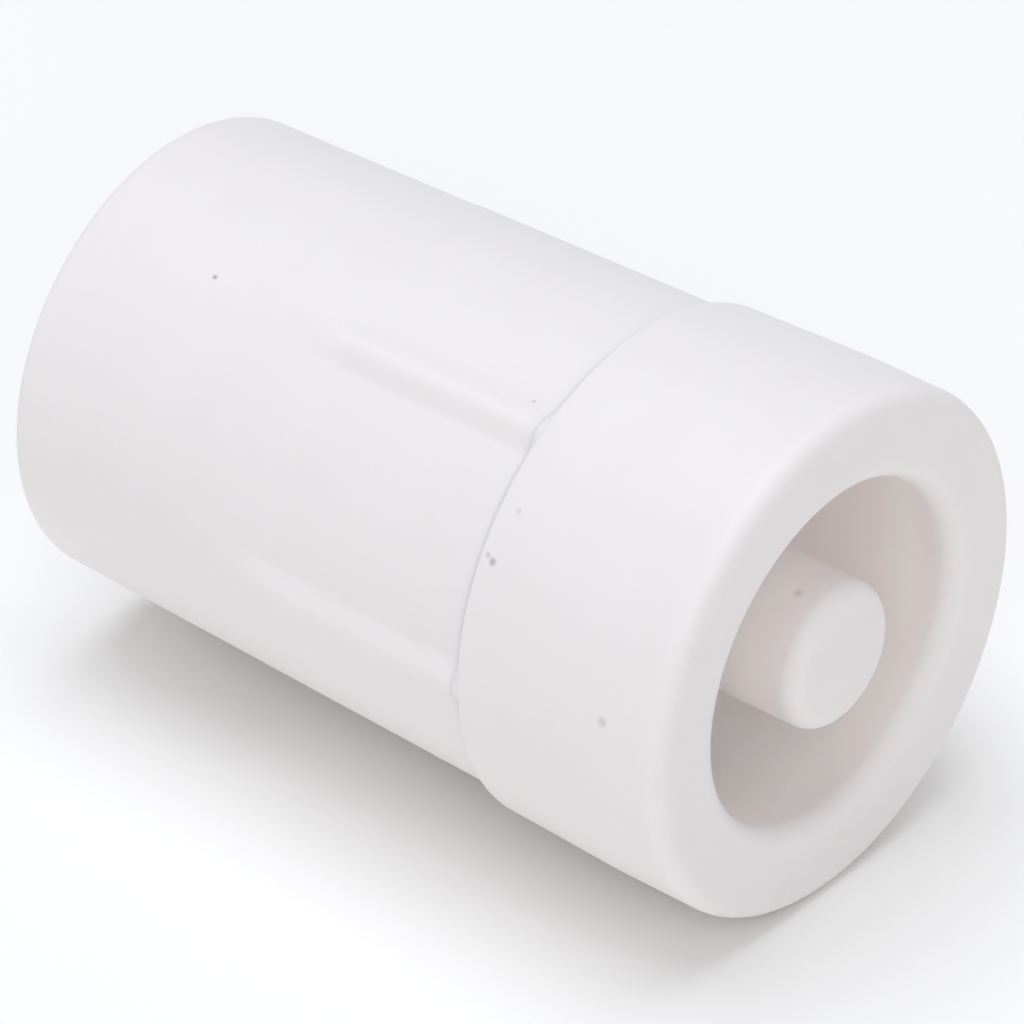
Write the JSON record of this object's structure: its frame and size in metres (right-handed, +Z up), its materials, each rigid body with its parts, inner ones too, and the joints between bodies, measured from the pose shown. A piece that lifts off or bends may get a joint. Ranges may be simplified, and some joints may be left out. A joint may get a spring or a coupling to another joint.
{
  "type": "wall anchor",
  "caption": "Plastic wall anchor: flush collar with a round recess, tapering fins on a barrel, spreading rear legs, and a drive pin in the middle.",
  "frame": {"origin": "centre of the collar's front face, which lies flush with the wall", "axes": "+Y along the axis into the wall, from the collar to the spreading legs; +Z up"},
  "size_m": [0.015, 0.0235, 0.015],
  "materials": {
    "nylon": "satin, as moulded",
    "nylon_pin": "satin, as moulded"
  },
  "bodies": {
    "sleeve": {"sleeve": "nylon"},
    "leg_upper": {"leg_upper": "nylon"},
    "leg_lower": {"leg_lower": "nylon"},
    "drive_pin": {"drive_pin": "nylon_pin"}
  },
  "joints": [
    {"name": "pin_slide", "type": "slide", "parent": "sleeve", "child": "drive_pin", "axis": [0, 1, 0], "range_m": [0, 0.004]},
    {"name": "leg_upper_flex", "type": "hinge", "parent": "sleeve", "child": "leg_upper", "pos_m": [-0.00509, 0.0166, 0.00451], "axis": [0.6626, 0, 0.749], "range_deg": [0, 4]},
    {"name": "leg_lower_flex", "type": "hinge", "parent": "sleeve", "child": "leg_lower", "pos_m": [0.00509, 0.0166, -0.00451], "axis": [-0.6626, 0, -0.749], "range_deg": [0, 4]}
  ],
  "couplings": [
    {"joint": "leg_upper_flex", "follows": "pin_slide", "rad_per_m": 17.453},
    {"joint": "leg_lower_flex", "follows": "pin_slide", "rad_per_m": 17.453}
  ]
}
